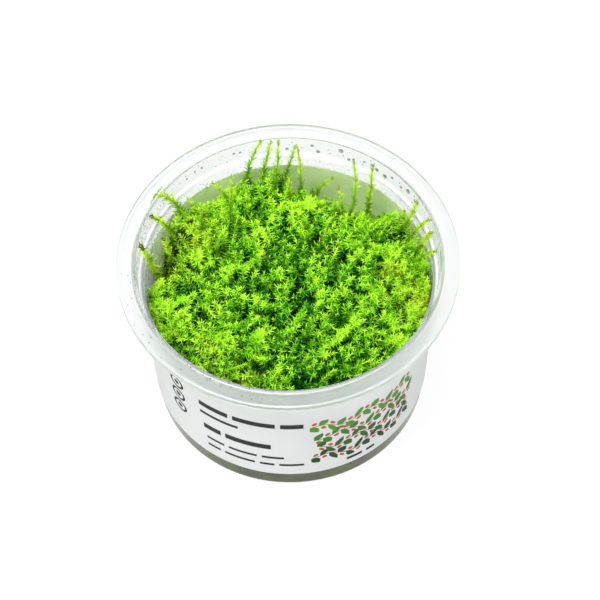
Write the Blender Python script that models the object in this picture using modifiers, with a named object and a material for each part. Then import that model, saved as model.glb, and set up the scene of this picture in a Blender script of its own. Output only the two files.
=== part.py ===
"""A cup of feather moss grown in tissue culture: a clear flanged cup, its wrap-round label, the layer of
culture gel, the moss cushion, and the taller shoots that stand out of it one by one.

Metres, +Z up. The origin is the centre of the cup's base, which rests on the surface, and -Y is the front.
"""

import math
import random

import bmesh
import bpy
import numpy as np
from mathutils import Vector, noise
from mathutils.bvhtree import BVHTree

# The cup
CUP_HEIGHT = 0.0530
FLANGE_RADIUS = 0.0440
FLANGE_THICKNESS = 0.0009
FLANGE_LIP = 0.0016
COLLAR_MOUTH_RADIUS = 0.0390
COLLAR_FOOT_RADIUS = 0.0386
STEP_HEIGHT = 0.0475
WALL_TOP_RADIUS = 0.0374
WALL_FOOT_RADIUS = 0.0358
WALL_THICKNESS = 0.0007
FLOOR_THICKNESS = 0.0009
FOOT_ROUNDING = 0.0018
FOOT_STEPS = 3
ROUND_SEGMENTS = 72

# The label
LABEL_BOTTOM = 0.0062
LABEL_TOP = 0.0426
LABEL_THICKNESS = 0.0003

# The gel
GEL_TOP = 0.0130

# Clearance between pieces that touch
GAP = 0.0003

# The moss cushion, a dome whose highest point lies a little in front of the cup's axis
CROWN_HEIGHT = 0.0455
CROWN_X = -0.001
CROWN_Y = -0.003
CROWN_REACH = 0.038
CROWN_FALL = 0.0045
CROWN_CURVE = 2.6
SIDE_POLAR = 118.0

# How high it stands against the wall: bearing in degrees, height; the dome runs into this outside a radius
BROW_HEIGHTS = (
    (0.0, 0.0430), (12.0, 0.0445), (18.0, 0.0420), (23.5, 0.0390), (28.0, 0.0430), (33.0, 0.0445),
    (37.0, 0.0410), (41.0, 0.0360), (46.0, 0.0310), (62.0, 0.0290), (72.0, 0.0300), (76.0, 0.0320),
    (80.0, 0.0360), (84.0, 0.0340), (87.0, 0.0315), (90.0, 0.0415), (98.0, 0.0425), (106.0, 0.0420),
    (111.0, 0.0395), (118.0, 0.0395), (124.0, 0.0360), (129.0, 0.0370), (134.0, 0.0410), (141.0, 0.0445),
    (150.0, 0.0415), (156.0, 0.0365), (163.0, 0.0300), (168.0, 0.0300), (174.0, 0.0360), (181.0, 0.0400),
    (190.0, 0.0410), (270.0, 0.0420), (350.0, 0.0415),
)
BROW_INNER_RADIUS = 0.0260

# Its mounds and dips: how wide one is, how far they rise and fall, and which slice of the noise they follow
MOUND_SIZE = 0.0050
MOUND_RISE = 0.0032
MOUND_SLICE = 9.1

# Its tufts: the hollows between them below the cushion's height, then the lowest and highest tip about it
TUFT_VALLEY = 0.0024
TUFT_LOW = -0.0004
TUFT_HIGH = 0.0012
TUFT_LEAN = 0.0008
TUFT_SEED = 11
CLEAR_AROUND_SHOOT = 0.0022

# A taller shoot: its foot (x, y) on the cushion, its elbow and its tip (x, y, z), and half its leafy width
TALL_SHOOTS = {
    "back_shoot_1": ((-0.0105, 0.0340), (-0.0090, 0.0353, 0.0488), (-0.0060, 0.0370, 0.0550), 0.0006),
    "back_shoot_2": ((-0.0065, 0.0345), (-0.0045, 0.0362, 0.0503), (-0.0035, 0.0376, 0.0540), 0.0006),
    "back_shoot_3": ((-0.0030, 0.0305), (-0.0020, 0.0330, 0.0500), (-0.0015, 0.0360, 0.0560), 0.0007),
    "back_shoot_4": ((-0.0005, 0.0345), (0.0015, 0.0358, 0.0475), (0.0030, 0.0377, 0.0515), 0.0006),
    "back_shoot_5": ((0.0035, 0.0295), (0.0040, 0.0320, 0.0505), (0.0035, 0.0345, 0.0545), 0.0005),
    "back_shoot_6": ((0.0010, 0.0270), (0.0010, 0.0285, 0.0465), (0.0010, 0.0300, 0.0485), 0.0005),
    "back_shoot_7": ((-0.0150, 0.0200), (-0.0145, 0.0225, 0.0510), (-0.0140, 0.0250, 0.0565), 0.0005),
    "back_shoot_8": ((-0.0155, 0.0280), (-0.0175, 0.0292, 0.0445), (-0.0195, 0.0302, 0.0460), 0.0005),
    "back_shoot_9": ((-0.0220, 0.0210), (-0.0240, 0.0225, 0.0465), (-0.0260, 0.0240, 0.0480), 0.0006),
    "back_shoot_10": ((-0.0224, 0.0170), (-0.0226, 0.0188, 0.0470), (-0.0228, 0.0205, 0.0496), 0.0006),
    "left_shoot_1": ((-0.0280, 0.0215), (-0.0304, 0.0210, 0.0521), (-0.0353, 0.0197, 0.0565), 0.0012),
    "left_shoot_2": ((-0.0295, 0.0175), (-0.0323, 0.0162, 0.0478), (-0.0352, 0.0150, 0.0528), 0.0008),
    "left_shoot_3": ((-0.0340, 0.0095), (-0.0357, 0.0062, 0.0445), (-0.0376, 0.0046, 0.0545), 0.0009),
    "left_shoot_4": ((-0.0310, 0.0125), (-0.0318, 0.0125, 0.0430), (-0.0325, 0.0125, 0.0460), 0.0005),
    "right_shoot_1": ((0.0165, 0.0230), (0.0185, 0.0260, 0.0500), (0.0180, 0.0295, 0.0555), 0.0006),
    "right_shoot_2": ((0.0215, 0.0278), (0.0227, 0.0281, 0.0456), (0.0232, 0.0301, 0.0521), 0.0006),
    "right_shoot_3": ((0.0145, 0.0235), (0.0145, 0.0247, 0.0465), (0.0140, 0.0262, 0.0480), 0.0005),
    "right_shoot_4": ((0.0080, 0.0335), (0.0105, 0.0333, 0.0402), (0.0130, 0.0330, 0.0430), 0.0005),
    "right_shoot_5": ((0.0303, 0.0163), (0.0333, 0.0162, 0.0503), (0.0341, 0.0168, 0.0530), 0.0007),
    "right_shoot_6": ((0.0290, 0.0190), (0.0306, 0.0186, 0.0445), (0.0310, 0.0184, 0.0470), 0.0005),
    "right_shoot_7": ((0.0320, 0.0143), (0.0352, 0.0117, 0.0500), (0.0370, 0.0104, 0.0540), 0.0004),
    "right_shoot_8": ((0.0334, 0.0092), (0.0364, 0.0079, 0.0500), (0.0371, 0.0071, 0.0530), 0.0006),
    "right_shoot_9": ((0.0340, 0.0060), (0.0364, 0.0038, 0.0482), (0.0381, 0.0020, 0.0517), 0.0006),
}
SHOOT_TIERS = 9
SHOOT_SIDES_SETTING = 1
SHOOT_FOOT_WIDTH = 0.25
SHOOT_TIP_WIDTH = 0.2
TIER_NOTCH = 0.68


def clear_scene():
    for item in list(bpy.data.objects):
        bpy.data.objects.remove(item, do_unlink=True)


def make_material(name, colour, roughness, transmission=0.0, metallic=0.0):
    """One Principled surface; colour is linear red, green and blue."""
    material = bpy.data.materials.new(name)
    material.use_nodes = True
    shader = material.node_tree.nodes["Principled BSDF"]
    shader.inputs["Base Color"].default_value = (*colour, 1.0)
    shader.inputs["Roughness"].default_value = roughness
    shader.inputs["Metallic"].default_value = metallic
    shader.inputs["Transmission Weight"].default_value = transmission
    material.diffuse_color = (*colour, 1.0)
    return material


def add_object(name, data, material):
    data.materials.append(material)
    item = bpy.data.objects.new(name, data)
    moss_cup.objects.link(item)
    return item


def add_turned(name, profile, closed, material):
    """A turned solid from (radius, height) points that run down its outer side, top to bottom."""
    mesh = bpy.data.meshes.new(name)
    points = [(radius, 0.0, height) for radius, height in profile]
    edges = [(index, index + 1) for index in range(len(points) - 1)]
    if closed:
        edges.append((len(points) - 1, 0))
    mesh.from_pydata(points, edges, [])
    item = add_object(name, mesh, material)
    screw = item.modifiers.new("turn", "SCREW")
    screw.axis = "Z"
    screw.angle = math.tau
    screw.steps = ROUND_SEGMENTS
    screw.render_steps = ROUND_SEGMENTS
    screw.use_merge_vertices = True
    screw.merge_threshold = 0.00001
    screw.use_smooth_shade = True
    return item


def quarter_arc(centre, radius, steps):
    """Points of a quarter circle in the profile plane, from its outermost point down to its lowest."""
    points = []
    for step in range(steps + 1):
        angle = math.radians(90.0 * step / steps)
        points.append((centre[0] + radius * math.cos(angle), centre[1] - radius * math.sin(angle)))
    return points


def inner_wall_radius(height):
    """The cup's inner radius at a height: a drafted wall, then the wider collar above the step."""
    if height <= STEP_HEIGHT:
        share = height / STEP_HEIGHT
        return WALL_FOOT_RADIUS + (WALL_TOP_RADIUS - WALL_FOOT_RADIUS) * share
    share = (height - STEP_HEIGHT) / (CUP_HEIGHT - STEP_HEIGHT)
    return COLLAR_FOOT_RADIUS + (COLLAR_MOUTH_RADIUS - COLLAR_FOOT_RADIUS) * share


def outer_wall_radius(height):
    return inner_wall_radius(min(height, STEP_HEIGHT)) + WALL_THICKNESS


def cup_profile():
    """From the middle of the floor up the inside, over the flange and down the outside to the base."""
    floor_corner = WALL_FOOT_RADIUS - FOOT_ROUNDING * 0.5
    flange_under = CUP_HEIGHT - FLANGE_THICKNESS
    edge_round = FLANGE_THICKNESS * 0.5
    collar_outside = COLLAR_MOUTH_RADIUS + FLANGE_THICKNESS
    step_under = STEP_HEIGHT - FLANGE_THICKNESS
    foot_radius = outer_wall_radius(0.0)
    inside = [
        (0.0, FLOOR_THICKNESS),
        (floor_corner, FLOOR_THICKNESS),
        (inner_wall_radius(FOOT_ROUNDING), FOOT_ROUNDING),
        (WALL_TOP_RADIUS, STEP_HEIGHT - 0.0003),
        (COLLAR_FOOT_RADIUS, STEP_HEIGHT),
        (COLLAR_MOUTH_RADIUS, CUP_HEIGHT - 0.0003),
        (COLLAR_MOUTH_RADIUS + 0.0003, CUP_HEIGHT),
    ]
    edge = [
        (FLANGE_RADIUS - edge_round, CUP_HEIGHT),
        (FLANGE_RADIUS, CUP_HEIGHT - edge_round),
        (FLANGE_RADIUS, CUP_HEIGHT - FLANGE_LIP),
        (FLANGE_RADIUS - FLANGE_THICKNESS, CUP_HEIGHT - FLANGE_LIP),
        (FLANGE_RADIUS - FLANGE_THICKNESS, flange_under),
    ]
    outside = [
        (collar_outside, flange_under),
        (COLLAR_FOOT_RADIUS + FLANGE_THICKNESS, step_under),
        (outer_wall_radius(step_under), step_under - 0.0003),
        (outer_wall_radius(FOOT_ROUNDING), FOOT_ROUNDING),
    ]
    foot = quarter_arc((foot_radius - FOOT_ROUNDING, FOOT_ROUNDING), FOOT_ROUNDING, FOOT_STEPS)[1:]
    return inside + edge + outside + foot + [(0.0, 0.0)]


def label_profile():
    """A thin band that follows the outside of the drafted wall."""
    inner = [(outer_wall_radius(height) + GAP, height) for height in (LABEL_BOTTOM, LABEL_TOP)]
    outer = [(radius + LABEL_THICKNESS, height) for radius, height in reversed(inner)]
    return outer + inner


def gel_profile():
    """A disc that fills the bottom of the cup, clear of its floor and wall."""
    bottom = FLOOR_THICKNESS + GAP
    shoulder = FOOT_ROUNDING + GAP
    return [
        (0.0, GEL_TOP),
        (inner_wall_radius(GEL_TOP) - GAP, GEL_TOP),
        (inner_wall_radius(shoulder) - GAP, shoulder),
        (WALL_FOOT_RADIUS - FOOT_ROUNDING, bottom),
        (0.0, bottom),
    ]


def smooth_share(value):
    value = min(max(value, 0.0), 1.0)
    return value * value * (3.0 - 2.0 * value)


def dome_height(x, y):
    reach = math.hypot(x - CROWN_X, y - CROWN_Y) / CROWN_REACH
    return CROWN_HEIGHT - CROWN_FALL * reach ** CROWN_CURVE


def cushion_height(x, y):
    """Height of the cushion's top: a flat dome with mounds, run out to its measured height at the wall."""
    bearing = math.atan2(y, x)
    bearings, heights = zip(*BROW_HEIGHTS)
    brow = float(np.interp(math.degrees(bearing), bearings, heights, period=360.0))
    dome_at_wall = dome_height(WALL_TOP_RADIUS * math.cos(bearing), WALL_TOP_RADIUS * math.sin(bearing))
    outward = (math.hypot(x, y) - BROW_INNER_RADIUS) / (WALL_TOP_RADIUS - BROW_INNER_RADIUS)
    mound = noise.noise(Vector((x / MOUND_SIZE, y / MOUND_SIZE, MOUND_SLICE))) * MOUND_RISE
    return dome_height(x, y) + (brow - dome_at_wall) * smooth_share(outward) + mound


def cushion_point(direction):
    """Maps a point of the unit ball to the cushion: the upper half is its top, the rest its side and base."""
    polar = math.degrees(math.acos(min(max(direction.z, -1.0), 1.0)))
    bearing = math.atan2(direction.y, direction.x)
    edge = WALL_TOP_RADIUS - 2.0 * GAP
    base = GEL_TOP + GAP
    if polar <= 90.0:
        radius = edge * polar / 90.0
        height = cushion_height(radius * math.cos(bearing), radius * math.sin(bearing)) - TUFT_VALLEY
    elif polar <= SIDE_POLAR:
        brow = cushion_height(edge * math.cos(bearing), edge * math.sin(bearing)) - TUFT_VALLEY
        height = brow + (base - brow) * (polar - 90.0) / (SIDE_POLAR - 90.0)
        radius = edge
    else:
        height = base
        radius = edge * (180.0 - polar) / (180.0 - SIDE_POLAR)
    radius = min(radius, inner_wall_radius(height) - GAP)
    return Vector((radius * math.cos(bearing), radius * math.sin(bearing), height))


def raise_tufts(form, faces):
    """Draws each facet of the top up to a point, the tip of one short shoot, clear of the tall ones."""
    chance = random.Random(TUFT_SEED)
    feet = [Vector(foot) for foot, _, _, _ in TALL_SHOOTS.values()]
    for vertex in bmesh.ops.poke(form, faces=faces)["verts"]:
        rise = TUFT_VALLEY + chance.uniform(TUFT_LOW, TUFT_HIGH)
        lean = Vector((chance.uniform(-1.0, 1.0), chance.uniform(-1.0, 1.0))) * TUFT_LEAN
        place = vertex.co.xy
        if min((place - foot).length for foot in feet) < CLEAR_AROUND_SHOOT:
            continue
        place = place + lean
        height = vertex.co.z + rise
        limit = inner_wall_radius(height) - GAP
        if place.length > limit:
            place = place * (limit / place.length)
        vertex.co = (place.x, place.y, height)


def add_cushion(material):
    mesh = bpy.data.meshes.new("moss_cushion")
    form = bmesh.new()
    bmesh.ops.create_icosphere(form, subdivisions=4, radius=1.0)
    top_faces = [face for face in form.faces if min(vertex.co.z for vertex in face.verts) > -0.02]
    for vertex in form.verts:
        vertex.co = cushion_point(vertex.co.normalized())
    raise_tufts(form, top_faces)
    bmesh.ops.recalc_face_normals(form, faces=form.faces)
    tree = BVHTree.FromBMesh(form)
    form.to_mesh(mesh)
    form.free()
    add_object("moss_cushion", mesh, material)
    return tree


def shoot_point(foot, elbow, tip, share):
    """A smooth stem through foot, elbow and tip; the elbow's share of it follows from the two spans."""
    lower = (elbow - foot).length
    knee = lower / (lower + (tip - elbow).length)
    at_foot = (share - knee) * (share - 1.0) / knee
    at_elbow = share * (1.0 - share) / (knee * (1.0 - knee))
    at_tip = share * (share - knee) / (1.0 - knee)
    return foot * at_foot + elbow * at_elbow + tip * at_tip


def tier_width(index):
    """The stem's width at one tier: thin at the foot, notched between leaf tiers, drawn in at the tip."""
    if index == 0:
        return SHOOT_FOOT_WIDTH
    if index == SHOOT_TIERS - 1:
        return SHOOT_TIP_WIDTH
    return 1.0 if index % 2 else TIER_NOTCH


def add_tall_shoot(name, cushion, foot_place, elbow, tip, half_width, material):
    """A leafy stem as a tapering tube, standing on the cushion where a plumb line meets it."""
    above = Vector((*foot_place, CUP_HEIGHT))
    landing = cushion.ray_cast(above, Vector((0.0, 0.0, -1.0)))[0]
    foot = landing + Vector((0.0, 0.0, GAP))
    curve = bpy.data.curves.new(name, "CURVE")
    curve.dimensions = "3D"
    curve.bevel_depth = half_width
    curve.bevel_resolution = SHOOT_SIDES_SETTING
    curve.use_fill_caps = True
    spline = curve.splines.new("POLY")
    spline.points.add(SHOOT_TIERS - 1)
    for index, point in enumerate(spline.points):
        place = shoot_point(foot, Vector(elbow), Vector(tip), index / (SHOOT_TIERS - 1))
        point.co = (*place, 1.0)
        point.radius = tier_width(index)
    add_object(name, curve, material)


clear_scene()
moss_cup = bpy.data.collections.new("tissue_culture_feather_moss")
bpy.context.scene.collection.children.link(moss_cup)

clear_plastic = make_material("clear_plastic", (0.86, 0.90, 0.90), 0.08, transmission=0.9)
label_paper = make_material("label_paper", (0.84, 0.84, 0.82), 0.55)
culture_gel = make_material("culture_gel", (0.22, 0.24, 0.10), 0.25, transmission=0.4)
moss_green = make_material("moss_green", (0.13, 0.36, 0.012), 0.6)
young_shoot_green = make_material("young_shoot_green", (0.27, 0.47, 0.02), 0.55)

add_turned("clear_cup", cup_profile(), False, clear_plastic)
add_turned("paper_label", label_profile(), True, label_paper)
add_turned("culture_gel", gel_profile(), False, culture_gel)
cushion_tree = add_cushion(moss_green)
for shoot_name, (foot_at, elbow_at, tip_at, leafy_width) in TALL_SHOOTS.items():
    add_tall_shoot(shoot_name, cushion_tree, foot_at, elbow_at, tip_at, leafy_width, young_shoot_green)
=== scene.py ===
import math

import bmesh
import bpy
import numpy as np
from mathutils import Matrix, Vector, noise


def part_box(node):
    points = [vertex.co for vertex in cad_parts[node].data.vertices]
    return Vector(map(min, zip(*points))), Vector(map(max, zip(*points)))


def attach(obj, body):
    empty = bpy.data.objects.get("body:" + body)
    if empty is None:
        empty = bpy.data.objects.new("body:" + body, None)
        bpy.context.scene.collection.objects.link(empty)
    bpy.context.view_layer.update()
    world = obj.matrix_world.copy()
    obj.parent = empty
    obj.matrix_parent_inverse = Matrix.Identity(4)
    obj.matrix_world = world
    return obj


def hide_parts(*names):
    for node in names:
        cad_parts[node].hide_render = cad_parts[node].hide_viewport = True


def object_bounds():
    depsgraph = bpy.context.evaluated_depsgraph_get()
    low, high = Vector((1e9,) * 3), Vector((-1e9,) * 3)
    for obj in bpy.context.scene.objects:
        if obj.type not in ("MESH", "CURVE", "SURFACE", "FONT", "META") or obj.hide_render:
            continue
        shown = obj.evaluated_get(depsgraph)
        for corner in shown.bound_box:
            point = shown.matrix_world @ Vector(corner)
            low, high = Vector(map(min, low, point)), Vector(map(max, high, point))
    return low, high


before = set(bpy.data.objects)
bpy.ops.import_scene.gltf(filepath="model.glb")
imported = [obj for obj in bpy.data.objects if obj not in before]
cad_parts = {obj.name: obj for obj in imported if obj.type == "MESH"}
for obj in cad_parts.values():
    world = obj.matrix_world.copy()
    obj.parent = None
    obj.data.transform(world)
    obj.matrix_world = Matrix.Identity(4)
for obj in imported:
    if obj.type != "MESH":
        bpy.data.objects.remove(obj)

cad_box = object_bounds()
mm = 0.001

# The clear cup
# One moulding of clear polypropylene: a thin drafted wall, a step out to a wider collar, and a flat flange
# with a small lip. It is turned here from its section, with the edges rounded as a mould leaves them.

_, cup_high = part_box("clear_cup")
CUP_HEIGHT = cup_high[2]
FLANGE_RADIUS = cup_high[0]
FLANGE_THICKNESS = 0.9 * mm
FLANGE_LIP = 1.6 * mm
COLLAR_MOUTH_RADIUS = 39.0 * mm
COLLAR_FOOT_RADIUS = 38.6 * mm
STEP_HEIGHT = 47.5 * mm
WALL_TOP_RADIUS = 37.4 * mm
WALL_FOOT_RADIUS = 35.8 * mm
WALL_THICKNESS = 0.7 * mm
FLOOR_THICKNESS = 0.5 * mm
FOOT_ROUNDING = 0.7 * mm
FOOT_EDGE = 0.8 * mm
CUP_ROUNDING = 0.28 * mm
ROUND_SEGMENTS = 160
# A shallow groove round the top of the flange: distance from the mouth and depth in millimetres
FLANGE_GROOVE = ((0.9, 0.0), (1.1, 0.12), (1.4, 0.12), (1.6, 0.0))
# How far neighbouring pieces stay apart
GAP = 0.3 * mm


def inner_wall_radius(height):
    """The cup's inner radius at a height, or at each height of an array."""
    share = np.clip(np.asarray(height) / STEP_HEIGHT, 0.0, 1.0)
    wall = WALL_FOOT_RADIUS + (WALL_TOP_RADIUS - WALL_FOOT_RADIUS) * share
    rise = np.clip((np.asarray(height) - STEP_HEIGHT) / (CUP_HEIGHT - STEP_HEIGHT), 0.0, 1.0)
    collar = COLLAR_FOOT_RADIUS + (COLLAR_MOUTH_RADIUS - COLLAR_FOOT_RADIUS) * rise
    return np.where(np.asarray(height) <= STEP_HEIGHT, wall, collar)


def outer_wall_radius(height):
    return float(inner_wall_radius(min(height, STEP_HEIGHT))) + WALL_THICKNESS


def turned(name, profile, rounding):
    """Spins a section of (radius, height) points about the cup's axis, with the corners rounded first."""
    form = bmesh.new()
    corners = [form.verts.new((radius, 0.0, height)) for radius, height in profile]
    for first, second in zip(corners, corners[1:]):
        form.edges.new((first, second))
    off_axis = [corner for corner in corners if corner.co.x > 0.0]
    bmesh.ops.bevel(form, geom=off_axis, offset=rounding, offset_type="OFFSET", affect="VERTICES",
                    segments=3, profile=0.5, material=-1, clamp_overlap=True)
    bmesh.ops.spin(form, geom=form.verts[:] + form.edges[:], cent=(0.0, 0.0, 0.0), axis=(0.0, 0.0, 1.0),
                   angle=math.tau, steps=ROUND_SEGMENTS, use_merge=True)
    bmesh.ops.remove_doubles(form, verts=form.verts[:], dist=0.002 * mm)
    bmesh.ops.recalc_face_normals(form, faces=form.faces[:])
    mesh = bpy.data.meshes.new(name)
    form.to_mesh(mesh)
    form.free()
    mesh.shade_smooth()
    mesh.set_sharp_from_angle(angle=math.radians(35.0))
    return mesh


def add_piece(mesh, material, nodes):
    """Puts a finished mesh in the scene on the cup's one body, in place of the named CAD nodes."""
    piece = bpy.data.objects.new(mesh.name, mesh)
    bpy.context.scene.collection.objects.link(piece)
    mesh.materials.append(material)
    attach(piece, "root")
    if nodes:
        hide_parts(*nodes)


def colour(hex_value):
    """An sRGB hex colour as Blender's linear red, green, blue and alpha."""
    channels = [int(hex_value[place:place + 2], 16) / 255.0 for place in (1, 3, 5)]
    linear = [c / 12.92 if c <= 0.04045 else ((c + 0.055) / 1.055) ** 2.4 for c in channels]
    return (*linear, 1.0)


def new_material(name):
    """An empty material and its node tree."""
    material = bpy.data.materials.new(name)
    material.use_nodes = True
    material.node_tree.nodes.clear()
    return material, material.node_tree


def add_node(tree, kind, sockets=None, stops=None, **settings):
    """Adds one shader node. A socket takes a value, an output, or a node, which stands for its first output.

    The stops are a colour ramp's places and hex colours, its first and its last before those between.
    """
    node = tree.nodes.new(kind)
    for name, value in settings.items():
        setattr(node, name, value)
    for socket, value in (sockets or {}).items():
        source = value.outputs[0] if isinstance(value, bpy.types.Node) else value
        if isinstance(source, bpy.types.NodeSocket):
            tree.links.new(source, node.inputs[socket])
        else:
            node.inputs[socket].default_value = source
    for index, (position, stop) in enumerate(stops or []):
        elements = node.color_ramp.elements
        element = elements[index] if index < 2 else elements.new(position)
        element.position = position
        element.color = colour(stop)
    return node


flange_under = CUP_HEIGHT - FLANGE_THICKNESS
step_under = STEP_HEIGHT - FLANGE_THICKNESS
cup_section = [
    (0.0, FLOOR_THICKNESS),
    (WALL_FOOT_RADIUS - FOOT_ROUNDING * 0.5, FLOOR_THICKNESS),
    (float(inner_wall_radius(FOOT_ROUNDING)), FOOT_ROUNDING),
    (WALL_TOP_RADIUS, STEP_HEIGHT),
    (COLLAR_FOOT_RADIUS, STEP_HEIGHT),
    (COLLAR_MOUTH_RADIUS, CUP_HEIGHT),
    *[(COLLAR_MOUTH_RADIUS + out * mm, CUP_HEIGHT - depth * mm) for out, depth in FLANGE_GROOVE],
    (FLANGE_RADIUS, CUP_HEIGHT),
    (FLANGE_RADIUS, CUP_HEIGHT - FLANGE_LIP),
    (FLANGE_RADIUS - FLANGE_THICKNESS, CUP_HEIGHT - FLANGE_LIP),
    (FLANGE_RADIUS - FLANGE_THICKNESS, flange_under),
    (COLLAR_MOUTH_RADIUS + FLANGE_THICKNESS, flange_under),
    (COLLAR_FOOT_RADIUS + FLANGE_THICKNESS, step_under),
    (outer_wall_radius(step_under), step_under),
    (outer_wall_radius(FOOT_EDGE), FOOT_EDGE),
    (outer_wall_radius(0.0) - FOOT_EDGE * 0.3, FOOT_EDGE * 0.3),
    (outer_wall_radius(0.0) - FOOT_EDGE, 0.0),
    (0.0, 0.0),
]

# Clear polypropylene, injection moulded: see-through, with a slight ripple from the mould and a cool green
# tint that only its long edges are thick enough to show. The flange and the ledge of the step are lightly
# frosted, and condensation dulls the inside round the step and lies as thin mist on the wall at the left.
# The IOR is below polypropylene's 1.49, so that the thin edges stay as pale as the real ones.
RIPPLE_SIZE = 9.0 * mm
RIPPLE_DEPTH = 0.4 * mm
FOG_SIZE = 1.1 * mm
# Where each finish fades in: along which measure, from and to which place in millimetres, and how strong
FADES = {
    "fog_top": ("height", 52.0, 48.0, 1.0, "LINEAR"),
    "fog_foot": ("height", 36.0, 42.0, 1.0, "LINEAR"),
    "flange_frost": ("from_axis", 39.1, 39.5, 0.40, "LINEAR"),
    "mist_left": ("rightward", -29.0, -37.5, 1.0, "SMOOTHSTEP"),
    "mist_top": ("height", 47.4, 45.0, 0.22, "LINEAR"),
    "mist_foot": ("height", 26.0, 31.0, 1.0, "LINEAR"),
}
LEDGE_LEVEL = STEP_HEIGHT - 0.2 * mm
LEDGE_REACH = 0.7 * mm
LEDGE_FROST = 0.55
# How much of its light each frosted part scatters white
FLANGE_MILK = 0.06
LEDGE_MILK = 0.15
clear_plastic, tree = new_material("moulded_clear_polypropylene")
place = add_node(tree, "ShaderNodeTexCoord").outputs["Object"]
ripple = add_node(tree, "ShaderNodeTexNoise", {"Vector": place, "Scale": 1.0 / RIPPLE_SIZE, "Detail": 1.0})
fog = add_node(tree, "ShaderNodeTexNoise", {"Vector": place, "Scale": 1.0 / FOG_SIZE, "Detail": 3.0})
split = add_node(tree, "ShaderNodeSeparateXYZ", {"Vector": place})
flat_place = add_node(tree, "ShaderNodeVectorMath", {0: place, 1: (1.0, 1.0, 0.0)}, operation="MULTIPLY")
from_axis = add_node(tree, "ShaderNodeVectorMath", {0: flat_place}, operation="LENGTH").outputs["Value"]
measures = {"rightward": split.outputs["X"], "height": split.outputs["Z"], "from_axis": from_axis}
fades = {}
for name, (measure, start, end, strength, blend) in FADES.items():
    fades[name] = add_node(tree, "ShaderNodeMapRange", {
        "Value": measures[measure],
        "From Min": start * mm,
        "From Max": end * mm,
        "To Max": strength,
    }, interpolation_type=blend)
fog_band = add_node(tree, "ShaderNodeMath", {0: fades["fog_top"], 1: fades["fog_foot"]}, operation="MULTIPLY")
fogged = add_node(tree, "ShaderNodeMath", {0: fog, 1: fog_band}, operation="MULTIPLY")
clouded = add_node(tree, "ShaderNodeMapRange", {"Value": fogged, "From Min": 0.35, "From Max": 0.75,
                                                "To Min": 0.14, "To Max": 0.38})
on_ledge = add_node(tree, "ShaderNodeMath", {0: split.outputs["Z"], 1: LEDGE_LEVEL, 2: LEDGE_REACH},
                    operation="COMPARE")
ledge_frost = add_node(tree, "ShaderNodeMath", {0: on_ledge, 1: LEDGE_FROST}, operation="MULTIPLY")
frosted = add_node(tree, "ShaderNodeMath", {0: fades["flange_frost"], 1: ledge_frost}, operation="MAXIMUM")
roughness = add_node(tree, "ShaderNodeMath", {0: clouded, 1: frosted}, operation="MAXIMUM")
mist_wall = add_node(tree, "ShaderNodeMath", {0: fades["mist_left"], 1: fades["mist_top"]},
                     operation="MULTIPLY")
misted = add_node(tree, "ShaderNodeMath", {0: mist_wall, 1: fades["mist_foot"]}, operation="MULTIPLY")
flange_milk = add_node(tree, "ShaderNodeMath", {0: fades["flange_frost"], 1: FLANGE_MILK},
                       operation="MULTIPLY")
ledge_milk = add_node(tree, "ShaderNodeMath", {0: on_ledge, 1: LEDGE_MILK}, operation="MULTIPLY")
frost_milk = add_node(tree, "ShaderNodeMath", {0: flange_milk, 1: ledge_milk}, operation="MAXIMUM")
milk = add_node(tree, "ShaderNodeMath", {0: frost_milk, 1: misted}, operation="MAXIMUM")
clear_share = add_node(tree, "ShaderNodeMath", {0: 1.0, 1: milk}, operation="SUBTRACT")
bump = add_node(tree, "ShaderNodeBump", {"Height": ripple, "Strength": 0.06, "Distance": RIPPLE_DEPTH})
plastic = add_node(tree, "ShaderNodeBsdfPrincipled", {
    "Base Color": colour("#F5F7F7"),
    "Transmission Weight": clear_share,
    "IOR": 1.36,
    "Roughness": roughness,
    "Normal": bump,
})
tint = add_node(tree, "ShaderNodeVolumeAbsorption", {"Color": colour("#D6E8DE"), "Density": 9.0})
add_node(tree, "ShaderNodeOutputMaterial", {"Surface": plastic, "Volume": tint})

add_piece(turned("turned_clear_cup", cup_section, CUP_ROUNDING), clear_plastic, ["clear_cup"])

# The culture gel
# A layer of set agar gel, poured warm into the cup and clouded olive by the moss that rooted in it. It fills
# the cup from wall to wall, so its outside shows as the dark band below the label.

_, gel_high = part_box("culture_gel")
GEL_TOP = gel_high[2]
GEL_ROUNDING = 0.4 * mm
# The gel climbs a little where it meets the wall
MENISCUS_WIDTH = 4.0 * mm
MENISCUS_RISE = 0.5 * mm
MIDDLE_DIP = 0.6 * mm
# It wets the plastic, so its skin is set this far into the wall and no air shows between them
WETTED = 0.15 * mm
gel_section = [
    (0.0, GEL_TOP - MIDDLE_DIP),
    (WALL_FOOT_RADIUS - MENISCUS_WIDTH, GEL_TOP - MENISCUS_RISE),
    (float(inner_wall_radius(GEL_TOP)) + WETTED, GEL_TOP),
    (float(inner_wall_radius(FOOT_ROUNDING)) + WETTED, FOOT_ROUNDING - WETTED),
    (WALL_FOOT_RADIUS - FOOT_ROUNDING * 0.5, FLOOR_THICKNESS - WETTED),
    (0.0, FLOOR_THICKNESS - WETTED),
]

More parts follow.
